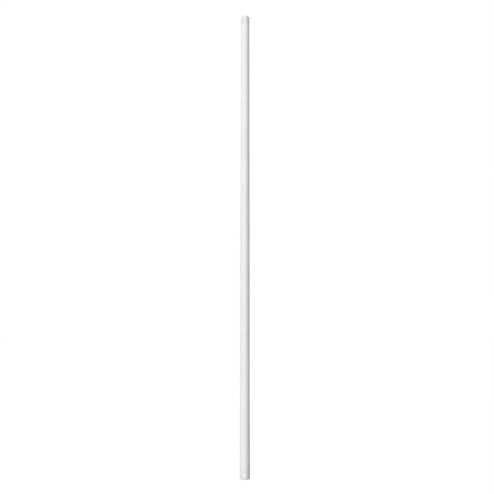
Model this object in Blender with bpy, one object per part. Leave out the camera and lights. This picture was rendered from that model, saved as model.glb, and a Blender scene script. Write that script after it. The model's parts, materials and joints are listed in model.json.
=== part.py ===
"""Folding long cane: five round aluminium tubes on one elastic cord, standing upright on its ground tip.

Metres, +Z up. The origin is the centre of the ground tip's flat end face, and the cane runs up +Z.
"""

import math

import bmesh
import bpy
from mathutils import Matrix, Vector

MM = 0.001

# The cane as a whole
CANE_LENGTH = 1100 * MM
TUBE_RADIUS = 11.1 * MM
TUBE_WALL = 1.2 * MM
HANDLE_SECTION_LENGTH = 240 * MM
SECTION_COUNT = 5

# Clearances between solids
SEAM_GAP = 0.1 * MM
FIXED_GAP = 0.3 * MM
RUNNING_GAP = 0.1 * MM

# Moulded end caps
END_EDGE_RADIUS = 2.0 * MM
TOP_CAP_SKIRT = 18 * MM
GROUND_TIP_SKIRT = 18 * MM
CAP_STEM_LENGTH = 22 * MM
CAP_BORE_RADIUS = 6.6 * MM
CAP_BORE_PAST_PIN = 6.5 * MM

# Cross pins that anchor the cord
TOP_PIN_FROM_END = 10 * MM
TIP_PIN_FROM_END = 10 * MM
PIN_RADIUS = 1.8 * MM
PIN_HOLE_RADIUS = 2.1 * MM
PIN_HEAD_RADIUS = 2.6 * MM
PIN_HEAD_UNDERSIDE = 10.2 * MM
PIN_HEAD_EDGE = 0.2 * MM
PIN_CROWN_RADIUS = 2.4 * MM
PIN_CROWN_RISE = 0.3 * MM
PIN_HEAD_PROUD = 0.5 * MM
COUNTERBORE_RADIUS = 2.85 * MM

# Joints between sections
FERRULE_FIXED_LENGTH = 36 * MM
FERRULE_RUNNING_LENGTH = 42 * MM
FERRULE_RUNNING_RADIUS = 8.3 * MM
FERRULE_BORE_RADIUS = 6.6 * MM
FERRULE_LEAD = 1.0 * MM
LINER_FLANGE = 0.9 * MM
LINER_LENGTH = 50 * MM
GUIDE_NOSE = 5 * MM
GUIDE_NOSE_TIP_RADIUS = 5.4 * MM
GUIDE_STEM_LENGTH = 8 * MM
GUIDE_HOLE_RADIUS = 2.5 * MM

# Elastic cord and its crimps
CORD_RADIUS = 2.0 * MM
CORD_LOOP_GAP = 0.3 * MM
CORD_STRAND_OFFSET = 2.2 * MM
CRIMP_BELOW_PIN = 9 * MM
CRIMP_LENGTH = 10 * MM
CRIMP_WALL = 0.8 * MM
CORD_TAIL = 3 * MM
CORD_MERGE = 9 * MM

# Facets
TUBE_FACETS = 48
JOINT_FACETS = 32
SMALL_FACETS = 24
CORD_BEVEL_STEPS = 2
LOOP_STEPS = 12
BLEND_STEPS = 4

LOWER_SECTION_LENGTH = (CANE_LENGTH - HANDLE_SECTION_LENGTH) / (SECTION_COUNT - 1)
TUBE_BORE_RADIUS = TUBE_RADIUS - TUBE_WALL
FIXED_RADIUS = TUBE_BORE_RADIUS - FIXED_GAP
SECTION_NAMES = ["handle_section", "section_2", "section_3", "section_4", "tip_section"]


def seam_height(joint):
    """Height of the seam below section number joint, counted from 1 at the handle."""
    return CANE_LENGTH - HANDLE_SECTION_LENGTH - (joint - 1) * LOWER_SECTION_LENGTH


def material(name, colour, metallic, roughness):
    """A Principled material with one colour."""
    made = bpy.data.materials.new(name)
    made.use_nodes = True
    shader = made.node_tree.nodes["Principled BSDF"]
    shader.inputs["Base Color"].default_value = (*colour, 1)
    shader.inputs["Metallic"].default_value = metallic
    shader.inputs["Roughness"].default_value = roughness
    return made


def finish_mesh(name, shape, surface):
    """Turns a bmesh into a named, smooth-shaded object with its faces pointing out."""
    bmesh.ops.remove_doubles(shape, verts=shape.verts, dist=1e-7)
    bmesh.ops.recalc_face_normals(shape, faces=shape.faces)
    mesh = bpy.data.meshes.new(name)
    shape.to_mesh(mesh)
    shape.free()
    mesh.shade_smooth()
    mesh.set_sharp_from_angle(angle=math.radians(35))
    mesh.materials.append(surface)
    made = bpy.data.objects.new(name, mesh)
    bpy.context.scene.collection.objects.link(made)
    return made


def turned(profile, facets, closed=True, start_angle=0.0):
    """A bmesh spun about Z from (radius, height) points. An open profile starts and ends on the axis."""
    shape = bmesh.new()
    turn = Matrix.Rotation(start_angle, 3, "Z")
    points = [shape.verts.new(turn @ Vector((r, 0, z))) for r, z in profile]
    pairs = list(zip(points, points[1:]))
    if closed:
        pairs.append((points[-1], points[0]))
    edges = [shape.edges.new(pair) for pair in pairs]
    bmesh.ops.spin(
        shape, geom=points + edges, cent=(0, 0, 0), axis=(0, 0, 1),
        angle=math.tau, steps=facets, use_merge=True,
    )
    return shape


def edge_arc(radius, end, inward, corner, steps=4):
    """Points of a rounded edge from a flat end face at height end round to the side wall."""
    centre_r, centre_z = radius - corner, end + inward * corner
    arc = []
    for step in range(steps + 1):
        angle = math.pi / 2 * step / steps
        arc.append((centre_r + corner * math.sin(angle), centre_z - inward * corner * math.cos(angle)))
    return arc


def cut(target, cutter):
    """Takes the cutter's shape out of the target and leaves the cutter as a wire guide."""
    cutter.hide_render = True
    cutter.display_type = "WIRE"
    hole = target.modifiers.new("pin_hole", "BOOLEAN")
    hole.operation = "DIFFERENCE"
    hole.solver = "EXACT"
    hole.object = cutter


def section_tube(number):
    """One drawn tube of the cane, cut square at both ends."""
    name = SECTION_NAMES[number - 1]
    top = CANE_LENGTH - TOP_CAP_SKIRT - SEAM_GAP
    bottom = GROUND_TIP_SKIRT + SEAM_GAP
    if number > 1:
        top = seam_height(number - 1) - LINER_FLANGE - SEAM_GAP
    if number < SECTION_COUNT:
        bottom = seam_height(number) + SEAM_GAP
    wall = [
        (TUBE_RADIUS, bottom),
        (TUBE_RADIUS, top),
        (TUBE_BORE_RADIUS, top),
        (TUBE_BORE_RADIUS, bottom),
    ]
    return finish_mesh(f"{name}_tube", turned(wall, TUBE_FACETS), white_coat)


def ferrule(joint):
    """Machined inner sleeve: its upper half is bonded in the upper tube, its lower half plugs into the next."""
    seam = seam_height(joint) + SEAM_GAP
    top = seam + FERRULE_FIXED_LENGTH
    bottom = seam - FERRULE_RUNNING_LENGTH
    profile = [
        (FERRULE_RUNNING_RADIUS, bottom + FERRULE_LEAD),
        (FERRULE_RUNNING_RADIUS, seam),
        (FIXED_RADIUS, seam),
        (FIXED_RADIUS, top - FERRULE_LEAD),
        (FIXED_RADIUS - FERRULE_LEAD, top),
        (FERRULE_BORE_RADIUS, top),
        (FERRULE_BORE_RADIUS, bottom),
        (FERRULE_RUNNING_RADIUS - FERRULE_LEAD, bottom),
    ]
    return finish_mesh(f"joint_{joint}_ferrule", turned(profile, JOINT_FACETS), bare_aluminium)


def liner(joint):
    """Flanged bush in the mouth of the lower tube: the ferrule slides in it and the flange takes the seat."""
    seam = seam_height(joint)
    inner = FERRULE_RUNNING_RADIUS + RUNNING_GAP
    profile = [
        (TUBE_RADIUS, seam - LINER_FLANGE),
        (TUBE_RADIUS, seam),
        (inner, seam),
        (inner, seam - LINER_LENGTH),
        (FIXED_RADIUS, seam - LINER_LENGTH),
        (FIXED_RADIUS, seam - LINER_FLANGE),
    ]
    return finish_mesh(f"joint_{joint}_liner", turned(profile, JOINT_FACETS), white_nylon)


def cord_guide(joint):
    """Tapered nose in the ferrule's end, which leads it into the next tube and keeps the cord off the metal."""
    shoulder = seam_height(joint) - FERRULE_RUNNING_LENGTH - FIXED_GAP + SEAM_GAP
    nose = shoulder - GUIDE_NOSE
    stem = FERRULE_BORE_RADIUS - FIXED_GAP
    profile = [
        (GUIDE_HOLE_RADIUS, nose),
        (GUIDE_NOSE_TIP_RADIUS, nose),
        (FERRULE_RUNNING_RADIUS - FERRULE_LEAD, shoulder),
        (stem, shoulder),
        (stem, shoulder + GUIDE_STEM_LENGTH),
        (GUIDE_HOLE_RADIUS, shoulder + GUIDE_STEM_LENGTH),
    ]
    return finish_mesh(f"joint_{joint}_cord_guide", turned(profile, SMALL_FACETS), white_nylon)


def cross_pin(name, height):
    """Headed pin along Y: a shank across the cap's bore with a domed head at each end."""
    crown = TUBE_RADIUS + PIN_HEAD_PROUD
    brow = crown - PIN_CROWN_RISE
    half = [(PIN_RADIUS, PIN_HEAD_UNDERSIDE), (PIN_HEAD_RADIUS, PIN_HEAD_UNDERSIDE)]
    half.append((PIN_HEAD_RADIUS, brow - PIN_HEAD_EDGE))
    for step in range(5):
        share = step / 4
        half.append((PIN_CROWN_RADIUS * (1 - share), brow + PIN_CROWN_RISE * share * (2 - share)))
    profile = [(r, -z) for r, z in reversed(half)] + half
    shape = turned(profile, SMALL_FACETS, closed=False)
    bmesh.ops.rotate(shape, cent=(0, 0, 0), matrix=Matrix.Rotation(math.pi / 2, 3, "X"), verts=shape.verts)
    bmesh.ops.translate(shape, vec=(0, 0, height), verts=shape.verts)
    return finish_mesh(name, shape, polished_steel)


def pin_hole_cutter(name, height):
    """The cross hole and its two counterbores, as one stepped bar along Y."""
    seat = PIN_HEAD_UNDERSIDE - FIXED_GAP
    reach = TUBE_RADIUS + 3 * MM
    half = [(PIN_HOLE_RADIUS, seat), (COUNTERBORE_RADIUS, seat), (COUNTERBORE_RADIUS, reach), (0.0, reach)]
    profile = [(r, -z) for r, z in reversed(half)] + half
    shape = turned(profile, SMALL_FACETS, closed=False)
    bmesh.ops.rotate(shape, cent=(0, 0, 0), matrix=Matrix.Rotation(math.pi / 2, 3, "X"), verts=shape.verts)
    bmesh.ops.translate(shape, vec=(0, 0, height), verts=shape.verts)
    return finish_mesh(name, shape, polished_steel)


def end_cap(name, end, inward, skirt, pin_from_end, pin_name):
    """Moulded cap: a skirt flush with the tube, a stem inside it and a bore where the cord loops its pin."""
    pin_height = end + inward * pin_from_end
    bore_end = pin_height - inward * CAP_BORE_PAST_PIN
    stem_end = end + inward * (skirt + CAP_STEM_LENGTH)
    profile = [(0.0, end)]
    profile += edge_arc(TUBE_RADIUS, end, inward, END_EDGE_RADIUS)
    profile += [
        (TUBE_RADIUS, end + inward * skirt),
        (FIXED_RADIUS, end + inward * skirt),
        (FIXED_RADIUS, stem_end - inward * FERRULE_LEAD),
        (FIXED_RADIUS - FERRULE_LEAD, stem_end),
        (CAP_BORE_RADIUS, stem_end),
        (CAP_BORE_RADIUS, bore_end),
        (0.0, bore_end),
    ]
    cap = finish_mesh(name, turned(profile, TUBE_FACETS, closed=False), white_nylon)
    cut(cap, pin_hole_cutter(f"{name}_pin_hole", pin_height))
    cross_pin(pin_name, pin_height)
    return cap


def cord_end(end, inward, pin_from_end):
    """One end of the cord, from its cut tail round the pin and back to the cane's axis."""
    pin = end + inward * pin_from_end
    loop = PIN_RADIUS + CORD_RADIUS + CORD_LOOP_GAP
    crimp_near = pin + inward * CRIMP_BELOW_PIN
    crimp_far = crimp_near + inward * CRIMP_LENGTH
    points = [(-CORD_STRAND_OFFSET, crimp_far + inward * CORD_TAIL)]
    for step in range(BLEND_STEPS + 1):
        share = step / BLEND_STEPS
        ease = share * share * (3 - 2 * share)
        x = CORD_STRAND_OFFSET + (loop - CORD_STRAND_OFFSET) * ease
        points.append((-x, crimp_near + (pin - crimp_near) * share))
    for step in range(1, LOOP_STEPS):
        angle = math.pi * step / LOOP_STEPS
        points.append((-loop * math.cos(angle), pin - inward * loop * math.sin(angle)))
    for step in range(BLEND_STEPS + 1):
        share = step / BLEND_STEPS
        ease = share * share * (3 - 2 * share)
        x = loop + (CORD_STRAND_OFFSET - loop) * ease
        points.append((x, pin + (crimp_near - pin) * share))
    for step in range(BLEND_STEPS + 1):
        share = step / BLEND_STEPS
        ease = share * share * (3 - 2 * share)
        points.append((CORD_STRAND_OFFSET * (1 - ease), crimp_far + inward * CORD_MERGE * share))
    return points


def elastic_cord():
    """The whole shock cord: looped round the top pin, down the axis, and looped round the tip pin."""
    route = cord_end(CANE_LENGTH, -1, TOP_PIN_FROM_END)
    route += [(0.0, seam_height(joint)) for joint in range(1, SECTION_COUNT)]
    route += list(reversed(cord_end(0.0, 1, TIP_PIN_FROM_END)))
    line = bpy.data.curves.new("elastic_cord", "CURVE")
    line.dimensions = "3D"
    line.bevel_depth = CORD_RADIUS
    line.bevel_resolution = CORD_BEVEL_STEPS
    line.use_fill_caps = True
    spline = line.splines.new("POLY")
    spline.points.add(len(route) - 1)
    for point, (x, z) in zip(spline.points, route):
        point.co = (x, 0, z, 1)
    line.materials.append(braided_elastic)
    made = bpy.data.objects.new("elastic_cord", line)
    bpy.context.scene.collection.objects.link(made)
    return made


def cord_crimp(name, end, inward, pin_from_end):
    """Oval sleeve pressed over the cord's two strands beside the loop."""
    near = end + inward * (pin_from_end + CRIMP_BELOW_PIN)
    far = near + inward * CRIMP_LENGTH
    inner = CORD_RADIUS + CORD_LOOP_GAP
    outer = inner + CRIMP_WALL
    wall = [(outer, near), (outer, far), (inner, far), (inner, near)]
    shape = turned(wall, SMALL_FACETS, start_angle=math.pi / SMALL_FACETS)
    for vertex in shape.verts:
        vertex.co.x += math.copysign(CORD_STRAND_OFFSET, vertex.co.x)
    return finish_mesh(name, shape, polished_steel)


for old in list(bpy.data.objects):
    bpy.data.objects.remove(old)

white_coat = material("white_powder_coat", (0.86, 0.87, 0.88), 0.0, 0.35)
white_nylon = material("white_nylon", (0.84, 0.85, 0.86), 0.0, 0.45)
bare_aluminium = material("bare_aluminium", (0.72, 0.73, 0.75), 1.0, 0.3)
polished_steel = material("polished_steel", (0.78, 0.78, 0.78), 1.0, 0.12)
braided_elastic = material("braided_elastic", (0.12, 0.12, 0.13), 0.0, 0.8)

for section in range(1, SECTION_COUNT + 1):
    section_tube(section)
for seam_number in range(1, SECTION_COUNT):
    ferrule(seam_number)
    liner(seam_number)
    cord_guide(seam_number)
end_cap("top_cap", CANE_LENGTH, -1, TOP_CAP_SKIRT, TOP_PIN_FROM_END, "top_cap_pin")
end_cap("ground_tip", 0.0, 1, GROUND_TIP_SKIRT, TIP_PIN_FROM_END, "ground_tip_pin")
cord_crimp("top_cord_crimp", CANE_LENGTH, -1, TOP_PIN_FROM_END)
cord_crimp("tip_cord_crimp", 0.0, 1, TIP_PIN_FROM_END)
elastic_cord()
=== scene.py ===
import json
import math
import bmesh
import bpy
import numpy as np
from mathutils import Matrix, Vector


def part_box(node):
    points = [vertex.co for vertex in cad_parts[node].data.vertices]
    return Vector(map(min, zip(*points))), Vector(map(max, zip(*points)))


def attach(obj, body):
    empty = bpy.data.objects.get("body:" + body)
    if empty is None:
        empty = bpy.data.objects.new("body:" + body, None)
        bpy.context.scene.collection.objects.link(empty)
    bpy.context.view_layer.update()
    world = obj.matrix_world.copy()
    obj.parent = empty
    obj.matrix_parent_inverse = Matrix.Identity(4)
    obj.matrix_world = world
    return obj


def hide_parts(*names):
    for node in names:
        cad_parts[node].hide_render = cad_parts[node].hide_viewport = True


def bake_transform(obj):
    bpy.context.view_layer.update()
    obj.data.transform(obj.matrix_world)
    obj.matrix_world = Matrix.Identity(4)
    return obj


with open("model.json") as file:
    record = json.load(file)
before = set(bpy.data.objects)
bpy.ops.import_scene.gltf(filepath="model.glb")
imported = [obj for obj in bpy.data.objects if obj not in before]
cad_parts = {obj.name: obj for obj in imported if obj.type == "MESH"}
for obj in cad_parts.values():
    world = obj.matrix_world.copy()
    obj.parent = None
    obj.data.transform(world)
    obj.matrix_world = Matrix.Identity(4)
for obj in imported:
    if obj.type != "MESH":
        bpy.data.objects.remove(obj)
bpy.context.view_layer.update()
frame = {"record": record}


# ---------------------------------------------------------------------------------------------
# Section tubes. Five drawn aluminium tubes, sawn square and deburred, make the cane's length.
# Outside they carry baked white powder coat, which wraps a little way over each rim. Inside, the
# metal is bare, with the fine long lines that the drawing plug leaves.
MM = 0.001
TUBE_WALL = 1.2 * MM
COATED_EDGE = 0.15 * MM
BARE_EDGE = 0.25 * MM
HAIRLINE = 0.02 * MM
RIM_STEPS = 3
WEAR_REACH = 5 * MM
TUBE_STEPS = 96
CREASE_ANGLE = 40
MERGE_DISTANCE = 1e-7
SECTIONS = ["handle_section", "section_2", "section_3", "section_4", "tip_section"]


def linear(hex_colour):
    """An sRGB hex colour such as #F2F3F4 as linear red, green, blue and alpha."""
    channels = [int(hex_colour[i : i + 2], 16) / 255 for i in (1, 3, 5)]
    return [c / 12.92 if c <= 0.04045 else ((c + 0.055) / 1.055) ** 2.4 for c in channels] + [1]


def add(tree, kind, inputs=None, **settings):
    """Adds a shader node. Each of its inputs is given a value or another node's output."""
    node = tree.nodes.new("ShaderNode" + kind)
    for name, value in settings.items():
        setattr(node, name, value)
    for socket, value in (inputs or {}).items():
        if isinstance(value, bpy.types.NodeSocket):
            tree.links.new(value, node.inputs[socket])
        else:
            node.inputs[socket].default_value = value
    return node


def new_material(name, **values):
    """A Principled material, its tree and its shader, with values set on the shader's sockets."""
    made = bpy.data.materials.new(name)
    made.use_nodes = True
    shader = made.node_tree.nodes["Principled BSDF"]
    for socket, value in values.items():
        shader.inputs[socket.replace("_", " ")].default_value = value
    return made, made.node_tree, shader


def rounded(points, steps):
    """The (radius, height, corner) points of a profile, each corner above 0 turned into an arc."""
    path = []
    for i, (r, z, corner) in enumerate(points):
        here = Vector((r, z))
        before = (Vector(points[i - 1][:2]) - here).normalized() * corner
        after = (Vector(points[(i + 1) % len(points)][:2]) - here).normalized() * corner
        for step in range(steps + 1 if corner else 1):
            turn = math.pi / 2 * step / steps
            path.append(here + before * (1 - math.sin(turn)) + after * (1 - math.cos(turn)))
    return path


def turned(profile, steps, closed=True):
    """A bmesh of a (radius, height) profile spun once round the cane's axis."""
    shape = bmesh.new()
    points = [shape.verts.new((r, 0, z)) for r, z in profile]
    edges = [shape.edges.new(pair) for pair in zip(points, points[1:])]
    if closed:
        edges.append(shape.edges.new((points[-1], points[0])))
    bmesh.ops.spin(
        shape, geom=points + edges, cent=(0, 0, 0), axis=(0, 0, 1),
        angle=math.tau, steps=steps, use_merge=True,
    )
    bmesh.ops.remove_doubles(shape, verts=shape.verts, dist=MERGE_DISTANCE)
    bmesh.ops.recalc_face_normals(shape, faces=shape.faces)
    return shape


def new_object(name, shape, *materials):
    """A smooth-shaded mesh object made from a bmesh, with its creases kept sharp."""
    mesh = bpy.data.meshes.new(name)
    shape.to_mesh(mesh)
    shape.free()
    mesh.shade_smooth()
    mesh.set_sharp_from_angle(angle=math.radians(CREASE_ANGLE))
    for material in materials:
        mesh.materials.append(material)
    made = bpy.data.objects.new(name, mesh)
    bpy.context.scene.collection.objects.link(made)
    return made


def stands_for(made, node, body=None):
    """Shows a piece in place of a CAD node, riding on its body."""
    if body:
        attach(made, body)
    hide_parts(node)
    return made


# White polyester powder coat: a baked satin film, IOR 1.5. Its orange peel is 1.6 mm from hump to
# hump and a hundredth of a millimetre high. Hands leave broad smoother patches, and a few chips at
# the rims let the metal through where the sections knock together.
ORANGE_PEEL = 1.6 * MM
PEEL_HEIGHT = 0.007 * MM
HANDLED_PATCH = 45 * MM
CHIP_SIZE = 0.8 * MM
CHIP_REACH = 0.6 * MM
CHIP_THRESHOLD = 0.81
powder_coat, tree, shader = new_material("white_polyester_powder_coat", Roughness=0.36, IOR=1.5)
place = add(tree, "TexCoord").outputs["Object"]
peel = add(tree, "TexNoise", {"Vector": place, "Scale": 1 / ORANGE_PEEL, "Detail": 1.0})
relief = add(tree, "Bump", {"Height": peel.outputs["Fac"], "Distance": PEEL_HEIGHT})
patches = add(tree, "TexNoise", {"Vector": place, "Scale": 1 / HANDLED_PATCH, "Detail": 3.0})
sheen = add(
    tree, "MapRange",
    {"Value": patches.outputs["Fac"], "From Min": 0.3, "From Max": 0.7,
     "To Min": 0.33, "To Max": 0.39},
)
tint = add(
    tree, "MixRGB",
    {"Fac": patches.outputs["Fac"], "Color1": linear("#EEEEEF"), "Color2": linear("#F1F1F1")},
)
rim = add(tree, "Attribute", attribute_name="from_end")
rubbed = add(
    tree, "MapRange",
    {"Value": rim.outputs["Fac"], "From Min": 0.0, "From Max": CHIP_REACH,
     "To Min": 0.2, "To Max": 0.0},
)
flecks = add(tree, "TexNoise", {"Vector": place, "Scale": 1 / CHIP_SIZE, "Detail": 2.0})
chipped = add(
    tree, "Math", {0: flecks.outputs["Fac"], 1: rubbed.outputs["Result"]}, operation="ADD"
)
bare = add(
    tree, "MapRange",
    {"Value": chipped.outputs["Value"], "From Min": CHIP_THRESHOLD,
     "From Max": CHIP_THRESHOLD + 0.02},
)
colour = add(
    tree, "MixRGB",
    {"Fac": bare.outputs["Result"], "Color1": tint.outputs["Color"], "Color2": linear("#B4B5B7")},
)
tree.links.new(colour.outputs["Color"], shader.inputs["Base Color"])
tree.links.new(bare.outputs["Result"], shader.inputs["Metallic"])
tree.links.new(sheen.outputs["Result"], shader.inputs["Roughness"])
tree.links.new(relief.outputs["Normal"], shader.inputs["Normal"])

# Drawn aluminium of the bore: bare metal, a little dull, with long fine lines 0.3 mm apart, each
# about fifty times as long as it is wide.
DRAWING_LINE = 0.3 * MM
LINE_WIDTH_TO_LENGTH = 0.02
LINE_DEPTH = 0.01 * MM
drawn_aluminium, tree, shader = new_material("drawn_aluminium", Metallic=1.0, Roughness=0.4)
place = add(tree, "TexCoord").outputs["Object"]
along = add(tree, "Mapping", {"Vector": place, "Scale": (1, 1, LINE_WIDTH_TO_LENGTH)})
lines = add(tree, "TexNoise", {"Vector": along.outputs["Vector"], "Scale": 1 / DRAWING_LINE})
relief = add(tree, "Bump", {"Height": lines.outputs["Fac"], "Distance": LINE_DEPTH})
dulled = add(
    tree, "MixRGB",
    {"Fac": lines.outputs["Fac"], "Color1": linear("#BABBBE"), "Color2": linear("#D0D1D2")},
)
tree.links.new(dulled.outputs["Color"], shader.inputs["Base Color"])
tree.links.new(relief.outputs["Normal"], shader.inputs["Normal"])

# The upper faces of the liners' flanges, which the feet of the four upper tubes close on.
seams = [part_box(f"joint_{joint}_liner")[1].z for joint in (1, 2, 3, 4)]
for number, section in enumerate(SECTIONS):
    low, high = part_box(f"{section}_tube")
    outer, inner = high.x, high.x - TUBE_WALL
    foot = seams[number] + HAIRLINE if number < len(seams) else low.z
    wall = rounded(
        [
            (outer, foot, COATED_EDGE),
            (outer, foot + WEAR_REACH, 0),
            (outer, high.z - WEAR_REACH, 0),
            (outer, high.z, COATED_EDGE),
            (inner, high.z, BARE_EDGE),
            (inner, foot, BARE_EDGE),
        ],
        RIM_STEPS,
    )
    shape = turned(wall, TUBE_STEPS)
    from_end = shape.verts.layers.float.new("from_end")
    for vertex in shape.verts:
        vertex[from_end] = min(vertex.co.z - foot, high.z - vertex.co.z)
    middle = (outer + inner) / 2
    for face in shape.faces:
        centre = face.calc_center_median()
        face.material_index = int(math.hypot(centre.x, centre.y) < middle)
    tube = new_object(f"{section}_coated_tube", shape, powder_coat, drawn_aluminium)
    stands_for(tube, f"{section}_tube", section)


# ---------------------------------------------------------------------------------------------
# End caps. The top cap and the ground tip are injection moulded white nylon, flush with the tube,
# pressed in by a stem and bored up the middle for the cord's loop. A cross hole takes the pin, with
# a counterbore each side for its head. A shallow dish in the end face holds the cut gate mark.
CAP_STEM_LENGTH = 22 * MM
CAP_BORE_RADIUS = 6.6 * MM
CAP_BORE_PAST_PIN = 6.5 * MM
STEM_CLEARANCE = 0.3 * MM
STEM_CHAMFER = 1.0 * MM
END_EDGE_RADIUS = 2.0 * MM
END_EDGE_STEPS = 8
SKIRT_EDGE = 0.12 * MM
DISH_RADIUS = 4.6 * MM
DISH_DEPTH = 0.3 * MM
GATE_RADIUS = 0.9 * MM
GATE_HEIGHT = 0.15 * MM
PIN_HOLE_RADIUS = 2.1 * MM
COUNTERBORE_RADIUS = 2.75 * MM
COUNTERBORE_FLOOR = 9.9 * MM
DRILL_OVERRUN = 3.0 * MM
HOLE_STEPS = 48
HOLE_CREASE_ANGLE = 30

# Nylon 6 from a fine spark-eroded mould: milky, IOR 1.53, with a matt grain 0.25 mm wide and broad
# faint flow marks. The ground tip's end face is scuffed grey in fine streaks.
NYLON_COLOUR = "#E8E9EA"
NYLON_DEPTH = 1.2 * MM
MOULD_GRAIN = 0.25 * MM
GRAIN_HEIGHT = 0.006 * MM
FLOW_MARK = 9 * MM
SCUFF_STREAK = 1.4 * MM
SCUFF_REACH = 0.6 * MM


def moulded_nylon(name, scuffed_below=None):
    """The nylon of the mouldings, scuffed up to a height above the ground if one is given."""
    made, tree, shader = new_material(
        name, Roughness=0.42, IOR=1.53, Subsurface_Weight=0.12, Subsurface_Scale=NYLON_DEPTH,
        Subsurface_Radius=(1.0, 0.95, 0.9),
    )
    place = add(tree, "TexCoord").outputs["Object"]
    grain = add(tree, "TexNoise", {"Vector": place, "Scale": 1 / MOULD_GRAIN, "Detail": 2.0})
    relief = add(tree, "Bump", {"Height": grain.outputs["Fac"], "Distance": GRAIN_HEIGHT})
    flow = add(tree, "TexNoise", {"Vector": place, "Scale": 1 / FLOW_MARK, "Detail": 2.0})
    tint = add(
        tree, "MixRGB",
        {"Fac": flow.outputs["Fac"], "Color1": linear(NYLON_COLOUR), "Color2": linear("#ECEDED")},
    )
    result = tint
    if scuffed_below:
        height = add(tree, "SeparateXYZ", {"Vector": place})
        near = add(
            tree, "MapRange",
            {"Value": height.outputs["Z"], "From Min": 0.0, "From Max": scuffed_below,
             "To Min": 0.75, "To Max": 0.0},
        )
        streaks = add(tree, "TexNoise", {"Vector": place, "Scale": 1 / SCUFF_STREAK, "Detail": 5.0})
        scuff = add(
            tree, "Math", {0: near.outputs["Result"], 1: streaks.outputs["Fac"]},
            operation="MULTIPLY",
        )
        result = add(
            tree, "MixRGB",
            {"Fac": scuff.outputs["Value"], "Color1": tint.outputs["Color"],
             "Color2": linear("#8E8C88")},
        )
    tree.links.new(result.outputs["Color"], shader.inputs["Base Color"])
    tree.links.new(relief.outputs["Normal"], shader.inputs["Normal"])
    return made


white_nylon = moulded_nylon("white_moulded_nylon")
ground_nylon = moulded_nylon("white_nylon_scuffed_by_the_ground", SCUFF_REACH)


def mirrored(half):
    """The whole (radius, distance) profile of a bar, from the half that lies past its middle."""
    return [(r, -y) for r, y in reversed(half)] + half


def cross_bar(profile, height, steps):
    """A bmesh of an open (radius, distance) profile spun round an axis along Y at that height."""
    shape = turned(profile, steps, closed=False)
    bmesh.ops.rotate(
        shape, cent=(0, 0, 0), matrix=Matrix.Rotation(math.pi / 2, 3, "X"), verts=shape.verts
    )
    bmesh.ops.translate(shape, vec=(0, 0, height), verts=shape.verts)
    return shape


def end_cap(name, node, body, end, inward, material):
    """One cap, from its outer end towards the middle of the cane, closed up to its tube's rim."""
    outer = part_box(node)[1].x
    skirt = min(abs(corner.z - end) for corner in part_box(f"{body}_tube")) - HAIRLINE
    pin_low, pin_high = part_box(f"{node}_pin")
    pin = (pin_low.z + pin_high.z) / 2
    stem = outer - TUBE_WALL - STEM_CLEARANCE
    tail = end + inward * (skirt + CAP_STEM_LENGTH)
    outline = rounded(
        [
            (0, end + inward * (DISH_DEPTH - GATE_HEIGHT), 0),
            (GATE_RADIUS, end + inward * (DISH_DEPTH - GATE_HEIGHT), 0),
            (GATE_RADIUS, end + inward * DISH_DEPTH, 0),
            (DISH_RADIUS - DISH_DEPTH, end + inward * DISH_DEPTH, 0),
            (DISH_RADIUS, end, 0),
            (outer, end, END_EDGE_RADIUS),
            (outer, end + inward * skirt, SKIRT_EDGE),
            (stem, end + inward * skirt, 0),
            (stem, tail - inward * STEM_CHAMFER, 0),
            (stem - STEM_CHAMFER, tail, 0),
            (CAP_BORE_RADIUS, tail, 0),
            (CAP_BORE_RADIUS, pin - inward * CAP_BORE_PAST_PIN, 0),
            (0, pin - inward * CAP_BORE_PAST_PIN, 0),
        ],
        END_EDGE_STEPS,
    )
    cap = new_object(name, turned(outline, TUBE_STEPS, closed=False), material)
    half = [
        (PIN_HOLE_RADIUS, COUNTERBORE_FLOOR),
        (COUNTERBORE_RADIUS, COUNTERBORE_FLOOR),
        (COUNTERBORE_RADIUS, outer + DRILL_OVERRUN),
        (0, outer + DRILL_OVERRUN),
    ]
    drill = new_object("drill", cross_bar(mirrored(half), pin, HOLE_STEPS))
    cutting = cap.modifiers.new("cross_hole", "BOOLEAN")
    cutting.object = drill
    bpy.context.view_layer.update()
    evaluated = cap.evaluated_get(bpy.context.evaluated_depsgraph_get())
    drilled = bpy.data.meshes.new_from_object(evaluated)
    cap.modifiers.remove(cutting)
    cap.data = drilled
    drilled.name = name
    drilled.shade_smooth()
    drilled.set_sharp_from_angle(angle=math.radians(HOLE_CREASE_ANGLE))
    bpy.data.objects.remove(drill)
    return stands_for(cap, node, body)


top_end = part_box("top_cap")[1].z
ground_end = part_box("ground_tip")[0].z
end_cap("moulded_top_cap", "top_cap", SECTIONS[0], top_end, -1, white_nylon)
end_cap("moulded_ground_tip", "ground_tip", SECTIONS[-1], ground_end, 1, ground_nylon)


# ---------------------------------------------------------------------------------------------
# Cross pins. A stainless pin runs through each cap and anchors the cord. Its ends are headed over
# into low domes and polished, so each shows as one round glint in its counterbore.
PIN_RADIUS = 1.8 * MM
PIN_HEAD_RADIUS = 2.6 * MM
PIN_HEAD_UNDERSIDE = 10.2 * MM
PIN_CROWN_RADIUS = 2.4 * MM
PIN_CROWN_RISE = 0.15 * MM
PIN_SHOULDER = 0.2 * MM
DOME_STEPS = 6

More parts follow.
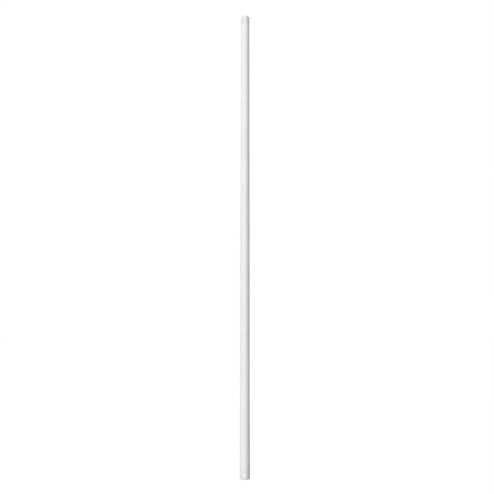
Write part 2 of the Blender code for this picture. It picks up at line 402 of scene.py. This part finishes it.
# Polished stainless steel: nearly mirror bright, with faint buffing swirls 0.15 mm apart.
BUFFING_SWIRL = 0.15 * MM
SWIRL_HEIGHT = 0.001 * MM
polished_stainless, tree, shader = new_material(
    "polished_stainless_steel", Metallic=1.0, Roughness=0.12
)
place = add(tree, "TexCoord").outputs["Object"]
swirls = add(tree, "TexNoise", {"Vector": place, "Scale": 1 / BUFFING_SWIRL, "Detail": 3.0})
relief = add(tree, "Bump", {"Height": swirls.outputs["Fac"], "Distance": SWIRL_HEIGHT})
bright = add(
    tree, "MixRGB",
    {"Fac": swirls.outputs["Fac"], "Color1": linear("#F2F1EF"), "Color2": linear("#FAF9F8")},
)
tree.links.new(bright.outputs["Color"], shader.inputs["Base Color"])
tree.links.new(relief.outputs["Normal"], shader.inputs["Normal"])

for node, body in (("top_cap_pin", SECTIONS[0]), ("ground_tip_pin", SECTIONS[-1])):
    low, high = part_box(node)
    half = [(PIN_RADIUS, PIN_HEAD_UNDERSIDE), (PIN_HEAD_RADIUS, PIN_HEAD_UNDERSIDE)]
    brow = high.y - PIN_CROWN_RISE
    rounding = PIN_HEAD_RADIUS - PIN_CROWN_RADIUS
    for step in range(DOME_STEPS):
        turn = math.pi / 2 * step / DOME_STEPS
        shoulder = PIN_SHOULDER * (1 - math.sin(turn))
        half.append((PIN_CROWN_RADIUS + rounding * math.cos(turn), brow - shoulder))
    for step in range(DOME_STEPS + 1):
        share = step / DOME_STEPS
        half.append((PIN_CROWN_RADIUS * (1 - share), brow + PIN_CROWN_RISE * share * (2 - share)))
    shape = cross_bar(mirrored(half), (low.z + high.z) / 2, HOLE_STEPS)
    pin = new_object(f"domed_{node}", shape, polished_stainless)
    stands_for(pin, node, body)


# ---------------------------------------------------------------------------------------------
# Joints. Each upper tube has a turned aluminium ferrule bonded in its lower end. It plugs into a
# flanged nylon liner pressed in the mouth of the next tube. The flange is flush with the coat and
# takes the thrust. A tapered nylon nose in the ferrule's end guides it home and guards the cord.
LINER_EDGE = 0.06 * MM
LINER_LEAD = 0.7 * MM
FERRULE_BORE_RADIUS = 6.6 * MM
FERRULE_LEAD = 1.0 * MM
RUNNING_CLEARANCE = 0.1 * MM
GUIDE_HOLE_RADIUS = 2.5 * MM
GUIDE_TRUMPET = 1.4 * MM
GUIDE_NOSE_TIP_RADIUS = 5.4 * MM
GUIDE_NOSE_EDGE = 0.8 * MM
GUIDE_STEM_LENGTH = 8 * MM
GUIDE_EDGE_STEPS = 6
JOINT_STEPS = 64

# Turned aluminium: bright bare metal with the lathe's rings, rubbed smoother in patches where it
# slides. The rings are drawn 1.13 mm apart, coarser than the real 0.2 mm or so, to show at all.
TURNING_PITCH = 1.13 * MM
TURNING_DEPTH = 0.006 * MM
RUBBED_PATCH = 12 * MM
turned_aluminium, tree, shader = new_material("turned_aluminium", Metallic=1.0)
place = add(tree, "TexCoord").outputs["Object"]
rings = add(
    tree, "TexWave",
    {"Vector": place, "Scale": math.tau / (20 * TURNING_PITCH), "Distortion": 0.4},
    bands_direction="Z",
)
relief = add(tree, "Bump", {"Height": rings.outputs["Fac"], "Distance": TURNING_DEPTH})
rub = add(tree, "TexNoise", {"Vector": place, "Scale": 1 / RUBBED_PATCH, "Detail": 4.0})
worn = add(
    tree, "MapRange",
    {"Value": rub.outputs["Fac"], "From Min": 0.35, "From Max": 0.65,
     "To Min": 0.22, "To Max": 0.36},
)
oxidised = add(
    tree, "MixRGB",
    {"Fac": rub.outputs["Fac"], "Color1": linear("#D8D9DB"), "Color2": linear("#CBCCCE")},
)
tree.links.new(oxidised.outputs["Color"], shader.inputs["Base Color"])
tree.links.new(relief.outputs["Normal"], shader.inputs["Normal"])
tree.links.new(worn.outputs["Result"], shader.inputs["Roughness"])

for joint, (upper, lower) in enumerate(zip(SECTIONS, SECTIONS[1:]), 1):
    low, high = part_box(f"joint_{joint}_liner")
    outer, seam, foot = high.x, high.z, low.z
    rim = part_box(f"{lower}_tube")[1].z + HAIRLINE
    sleeve = outer - TUBE_WALL - STEM_CLEARANCE
    ferrule_low, ferrule_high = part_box(f"joint_{joint}_ferrule")
    shank = ferrule_high.x
    guide_low, guide_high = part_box(f"joint_{joint}_cord_guide")
    nose_root = guide_high.x
    running = nose_root + FERRULE_LEAD
    mouth = running + RUNNING_CLEARANCE
    liner = rounded(
        [
            (outer, rim, LINER_EDGE),
            (outer, seam, LINER_EDGE),
            (mouth + LINER_LEAD, seam, 0),
            (mouth, seam - LINER_LEAD, 0),
            (mouth, foot, 0),
            (sleeve, foot, 0),
            (sleeve, rim, 0),
        ],
        RIM_STEPS,
    )
    bush = new_object(f"joint_{joint}_flanged_liner", turned(liner, TUBE_STEPS), white_nylon)
    stands_for(bush, f"joint_{joint}_liner", lower)

    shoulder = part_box(f"{upper}_tube")[0].z
    ferrule = rounded(
        [
            (running, ferrule_low.z + FERRULE_LEAD, 0),
            (running, shoulder, 0),
            (shank, shoulder, 0),
            (shank, ferrule_high.z - FERRULE_LEAD, 0),
            (shank - FERRULE_LEAD, ferrule_high.z, 0),
            (FERRULE_BORE_RADIUS, ferrule_high.z, BARE_EDGE),
            (FERRULE_BORE_RADIUS, ferrule_low.z, BARE_EDGE),
            (running - FERRULE_LEAD, ferrule_low.z, 0),
        ],
        RIM_STEPS,
    )
    shape = turned(ferrule, JOINT_STEPS)
    spigot = new_object(f"joint_{joint}_turned_ferrule", shape, turned_aluminium)
    stands_for(spigot, f"joint_{joint}_ferrule", upper)

    nose_shoulder = guide_high.z - GUIDE_STEM_LENGTH
    guide = rounded(
        [
            (GUIDE_HOLE_RADIUS, guide_low.z, GUIDE_TRUMPET),
            (GUIDE_NOSE_TIP_RADIUS, guide_low.z, GUIDE_NOSE_EDGE),
            (nose_root, nose_shoulder, 0),
            (FERRULE_BORE_RADIUS - STEM_CLEARANCE, nose_shoulder, 0),
            (FERRULE_BORE_RADIUS - STEM_CLEARANCE, guide_high.z, 0),
            (GUIDE_HOLE_RADIUS, guide_high.z, GUIDE_TRUMPET),
        ],
        GUIDE_EDGE_STEPS,
    )
    nose = new_object(f"joint_{joint}_nylon_nose", turned(guide, JOINT_STEPS), white_nylon)
    stands_for(nose, f"joint_{joint}_cord_guide", upper)


# ---------------------------------------------------------------------------------------------
# Elastic cord. One 4 mm shock cord, latex strands in a braided polyester sheath, runs through every
# section, with its ends looped round the cross pins. It is shown as one span for each joint, from
# the middle of a section to the middle of the next.
CORD_LOOP_GAP = 0.3 * MM
CORD_STRAND_OFFSET = 2.2 * MM
CRIMP_BELOW_PIN = 9 * MM
CRIMP_LENGTH = 10 * MM
CORD_TAIL = 3 * MM
CORD_MERGE = 9 * MM
ROUTE_STEPS = 24
BRAID_STRANDS = 8
BRAID_CELL = 1.5 * MM
BRAID_RELIEF = 0.22 * MM
YARN_FULLNESS = 0.5
YARN_DIP = 0.4
SHEATH_STEPS = 48
SHEATH_STEP_LENGTH = 0.4 * MM
SHEATH_MERGE = 1e-6
TANGENT_REACH = 0.5 * MM
CORD_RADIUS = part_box("elastic_cord")[1].y


def cord_end(pin, inward):
    """(x, z) points of one end of the cord, from its cut tail round the pin to the axis."""
    loop = PIN_RADIUS + CORD_RADIUS + CORD_LOOP_GAP
    crimp_near = pin + inward * CRIMP_BELOW_PIN
    crimp_far = crimp_near + inward * CRIMP_LENGTH
    shares = [step / ROUTE_STEPS for step in range(ROUTE_STEPS + 1)]
    eased = [share * share * (3 - 2 * share) for share in shares]
    widths = [CORD_STRAND_OFFSET + (loop - CORD_STRAND_OFFSET) * ease for ease in eased]
    rising = [(-w, crimp_near + (pin - crimp_near) * share) for w, share in zip(widths, shares)]
    around = [
        (-loop * math.cos(math.pi * share), pin - inward * loop * math.sin(math.pi * share))
        for share in shares[1:-1]
    ]
    falling = [(-x, z) for x, z in reversed(rising)]
    merging = [
        (CORD_STRAND_OFFSET * (1 - ease), crimp_far + inward * CORD_MERGE * share)
        for share, ease in zip(shares, eased)
    ]
    tail = [(-CORD_STRAND_OFFSET, crimp_far + inward * CORD_TAIL)]
    return tail + rising + around + falling + merging


def middle_of(section):
    """Height of the middle of a section's tube."""
    low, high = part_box(f"{section}_tube")
    return (low.z + high.z) / 2


def braid_radius(turn, along):
    """The sheath's radius, with its strands over and under, at a turn round and a way along."""
    right = (turn * BRAID_STRANDS + along / BRAID_CELL) % 2
    left = (turn * BRAID_STRANDS - along / BRAID_CELL) % 2
    across, lengthwise = (right, left) if int(right) == int(left) else (left, right)
    yarn = math.sin(math.pi * (across % 1)) ** YARN_FULLNESS
    dip = YARN_DIP * (1 - math.sin(math.pi * (lengthwise % 1)))
    return CORD_RADIUS - BRAID_RELIEF * (1 - yarn * (1 - dip))


def sheathed(route):
    """A bmesh of braided sheath along an (x, z) route: a grid wrapped into a tube and closed."""
    line = np.array(route)
    run = np.concatenate([[0], np.cumsum(np.linalg.norm(np.diff(line, axis=0), axis=1))])
    length = run[-1]

    def point(distance):
        """The place on the route at a distance along it."""
        x, z = np.interp(distance, run, line[:, 0]), np.interp(distance, run, line[:, 1])
        return Vector((x, 0, z))

    rings = round(length / SHEATH_STEP_LENGTH)
    shape = bmesh.new()
    bmesh.ops.create_grid(shape, x_segments=SHEATH_STEPS, y_segments=rings, size=0.5)
    uv = shape.loops.layers.uv.new("sheath")
    for face in shape.faces:
        for corner in face.loops:
            corner[uv].uv = (corner.vert.co.x + 0.5, (corner.vert.co.y + 0.5) * length)
    for vertex in shape.verts:
        turn, along = vertex.co.x + 0.5, (vertex.co.y + 0.5) * length
        ahead, behind = min(along + TANGENT_REACH, length), max(along - TANGENT_REACH, 0)
        side = (point(ahead) - point(behind)).normalized().cross(Vector((0, 1, 0)))
        angle = math.tau * turn
        outward = side * math.cos(angle) + Vector((0, math.sin(angle), 0))
        vertex.co = point(along) + outward * braid_radius(turn, along)
    bmesh.ops.remove_doubles(shape, verts=shape.verts, dist=SHEATH_MERGE)
    rims = [edge for edge in shape.edges if edge.is_boundary]
    bmesh.ops.holes_fill(shape, edges=rims, sides=0)
    bmesh.ops.recalc_face_normals(shape, faces=shape.faces)
    return shape


# Braided polyester sheath: matt black yarn with a soft fuzz, and one grey tracer yarn.
YARN_FILAMENT = 0.12 * MM
FUZZ_HEIGHT = 0.03 * MM
braided_sheath, tree, shader = new_material(
    "braided_polyester_sheath", Roughness=0.78, Sheen_Weight=0.35, Sheen_Roughness=0.5
)
wrap = add(tree, "UVMap", uv_map="sheath")
place = add(tree, "TexCoord").outputs["Object"]
filaments = add(tree, "TexNoise", {"Vector": place, "Scale": 1 / YARN_FILAMENT})
relief = add(tree, "Bump", {"Height": filaments.outputs["Fac"], "Distance": FUZZ_HEIGHT})
shade = add(
    tree, "MixRGB",
    {"Fac": filaments.outputs["Fac"], "Color1": linear("#1B1C1E"), "Color2": linear("#33353A")},
)
way = add(tree, "SeparateXYZ", {"Vector": wrap.outputs["UV"]})
turns = add(tree, "Math", {0: way.outputs["X"], 1: BRAID_STRANDS}, operation="MULTIPLY")
cells = add(tree, "Math", {0: way.outputs["Y"], 1: 1 / BRAID_CELL}, operation="MULTIPLY")
strand = add(tree, "Math", {0: turns.outputs["Value"], 1: cells.outputs["Value"]}, operation="ADD")
which = add(
    tree, "Math", {0: strand.outputs["Value"], 1: BRAID_STRANDS}, operation="FLOORED_MODULO"
)
tracer = add(tree, "Math", {0: which.outputs["Value"], 1: 1.0}, operation="LESS_THAN")
yarns = add(
    tree, "MixRGB",
    {"Fac": tracer.outputs["Value"], "Color1": shade.outputs["Color"], "Color2": linear("#8C8F94")},
)
tree.links.new(yarns.outputs["Color"], shader.inputs["Base Color"])
tree.links.new(relief.outputs["Normal"], shader.inputs["Normal"])

top_pin = sum(corner.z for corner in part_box("top_cap_pin")) / 2
tip_pin = sum(corner.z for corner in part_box("ground_tip_pin")) / 2
top_route, tip_route = cord_end(top_pin, -1), cord_end(tip_pin, 1)
for joint, (upper, lower) in enumerate(zip(SECTIONS, SECTIONS[1:]), 1):
    start, end = (0, middle_of(upper)), (0, middle_of(lower))
    route = (top_route if joint == 1 else [start]) + (tip_route[::-1] if joint == 4 else [end])
    span = new_object(f"elastic_cord_span_{joint}", sheathed(route), braided_sheath)
    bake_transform(span)
    stands_for(span, "elastic_cord")


# ---------------------------------------------------------------------------------------------
# Cord crimps. A short steel tube, pressed oval over the cord's two strands, locks each end loop.
# Two bands are squeezed deeper by the crimping tool's jaws.
CRIMP_WALL = 0.8 * MM
CRIMP_EDGE = 0.2 * MM
CRIMP_BAND = 1.3 * MM
CRIMP_SQUEEZE = 0.25 * MM
CRIMP_STEPS = 48
CRIMP_RINGS = 20

for node, body in (("top_cord_crimp", SECTIONS[0]), ("tip_cord_crimp", SECTIONS[-1])):
    low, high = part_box(node)
    outer = high.y
    inner = outer - CRIMP_WALL
    length = high.z - low.z
    rings = [low.z + length * ring / CRIMP_RINGS for ring in range(1, CRIMP_RINGS)]
    outside = [(outer, low.z, CRIMP_EDGE)] + [(outer, z, 0) for z in rings]
    outside.append((outer, high.z, CRIMP_EDGE))
    inside = [(inner, high.z, CRIMP_EDGE), (inner, low.z, CRIMP_EDGE)]
    shape = turned(rounded(outside + inside, RIM_STEPS), CRIMP_STEPS)
    half_step = Matrix.Rotation(math.pi / CRIMP_STEPS, 3, "Z")
    bmesh.ops.rotate(shape, cent=(0, 0, 0), matrix=half_step, verts=shape.verts)
    bands = (low.z + length / 3, high.z - length / 3)
    for vertex in shape.verts:
        if math.hypot(vertex.co.x, vertex.co.y) > (outer + inner) / 2:
            nearest = min(abs(vertex.co.z - band) for band in bands)
            if nearest < CRIMP_BAND:
                depth = CRIMP_SQUEEZE * (1 + math.cos(math.pi * nearest / CRIMP_BAND)) / 2
                vertex.co.y *= (outer - depth) / outer
        vertex.co.x += math.copysign(CORD_STRAND_OFFSET, vertex.co.x)
    crimp = new_object(f"pressed_{node}", shape, polished_stainless)
    stands_for(crimp, node, body)


# ---------------------------------------------------------------------------------------------
# Studio. The cane hangs from its grip, as from a hand, over a white sweep that runs out of sight,
# and the sweep is low enough to clear the tip with every joint pulled apart. Broad soft panels in
# front, the left one brighter, and three behind shape the white, and its right side faces the dark.
# A small one overhead lights the top cap's end face.
WHITE = 1.02
FLOOR_RADIUS = 40
FLOOR_STEPS = 64
FLOOR_CLEARANCE = 0.01
BOUNCE = 0.02
# name: (azimuth, degrees wide, distance, foot, head, brightness), lengths in metres; azimuth 0 is
# behind the camera and 90 is to its right
PANELS = {
    "key_panel": (-37.5, 45, 2.5, -2.0, 4.0, 1.705),
    "fill_panel": (15, 60, 2.5, -2.0, 4.6, 1.16),
    "left_edge_panel": (-112.5, 45, 2.5, -2.0, 4.0, 1.08),
    "right_edge_panel": (142.5, 45, 0.7, -0.1, 3.0, 1.065),
    "backdrop_panel": (-157.5, 45, 2.5, -2.0, 4.0, 1.29),
}
OVERHEAD_SIDE = 0.71
OVERHEAD_ABOVE_TOP = 2.0
OVERHEAD_BRIGHTNESS = 6.0


def soft_panel(name, width, height, brightness, place, turn):
    """A soft panel, evenly bright, that lights the cane and isn't seen itself."""
    light = bpy.data.lights.new(name, "AREA")
    light.shape = "RECTANGLE"
    light.size, light.size_y = width, height
    light.energy = brightness * math.pi * width * height
    panel = bpy.data.objects.new(name, light)
    bpy.context.scene.collection.objects.link(panel)
    panel.location, panel.rotation_euler = place, turn
    panel.visible_camera = False


for name, (azimuth, spread, distance, foot, head, brightness) in PANELS.items():
    turn = math.radians(azimuth)
    soft_panel(
        name, 2 * distance * math.tan(math.radians(spread) / 2), head - foot, brightness,
        (distance * math.sin(turn), -distance * math.cos(turn), (foot + head) / 2),
        (math.pi / 2, 0, turn),
    )
soft_panel(
    "overhead_panel", OVERHEAD_SIDE, OVERHEAD_SIDE, OVERHEAD_BRIGHTNESS,
    (0, 0, top_end + OVERHEAD_ABOVE_TOP), (0, 0, 0),
)

white_sweep, tree, shader = new_material(
    "white_sweep", Base_Color=linear("#000000"), Roughness=0.9, Emission_Color=linear("#FFFFFF"),
    Emission_Strength=WHITE,
)
shape = bmesh.new()
bmesh.ops.create_circle(shape, cap_ends=True, segments=FLOOR_STEPS, radius=FLOOR_RADIUS)
reach = sum(joint["range_m"][1] for joint in frame["record"]["behaviour"]["joints"])
bmesh.ops.translate(shape, vec=(0, 0, ground_end - reach - FLOOR_CLEARANCE), verts=shape.verts)
floor = new_object("floor", shape, white_sweep)
floor.visible_diffuse = False
floor.visible_glossy = False
floor.visible_shadow = False

world = bpy.data.worlds.new("studio")
world.use_nodes = True
bpy.context.scene.world = world
tree = world.node_tree
direction = add(tree, "SeparateXYZ", {"Vector": add(tree, "TexCoord").outputs["Generated"]})
below = add(tree, "Math", {0: direction.outputs["Z"], 1: 0.0}, operation="LESS_THAN")
bounce = add(tree, "Math", {0: below.outputs["Value"], 1: BOUNCE}, operation="MULTIPLY")
seen = add(tree, "LightPath").outputs["Is Camera Ray"]
strength = add(
    tree, "Mix", {"Factor": seen, "A": bounce.outputs["Value"], "B": WHITE}, data_type="FLOAT"
)
background = tree.nodes["Background"]
background.inputs["Color"].default_value = linear("#FFFFFF")
tree.links.new(strength.outputs["Result"], background.inputs["Strength"])

# The camera stands a metre in front, below the cane's middle, and looks slightly up.
CAMERA_BACK = 1.005
CAMERA_HEIGHT = 0.307
CAMERA_PITCH = 10.79
CAMERA_YAW = -0.28
CAMERA_LENS = 32.06
SENSOR_WIDTH = 36
camera_data = bpy.data.cameras.new("camera")
camera_data.lens = CAMERA_LENS
camera_data.sensor_width = SENSOR_WIDTH
camera = bpy.data.objects.new("camera", camera_data)
bpy.context.scene.collection.objects.link(camera)
camera.location = (0, -CAMERA_BACK, CAMERA_HEIGHT)
camera.rotation_euler = (math.radians(90 + CAMERA_PITCH), 0, math.radians(CAMERA_YAW))
bpy.context.scene.camera = camera
bpy.context.scene.view_settings.view_transform = "Standard"
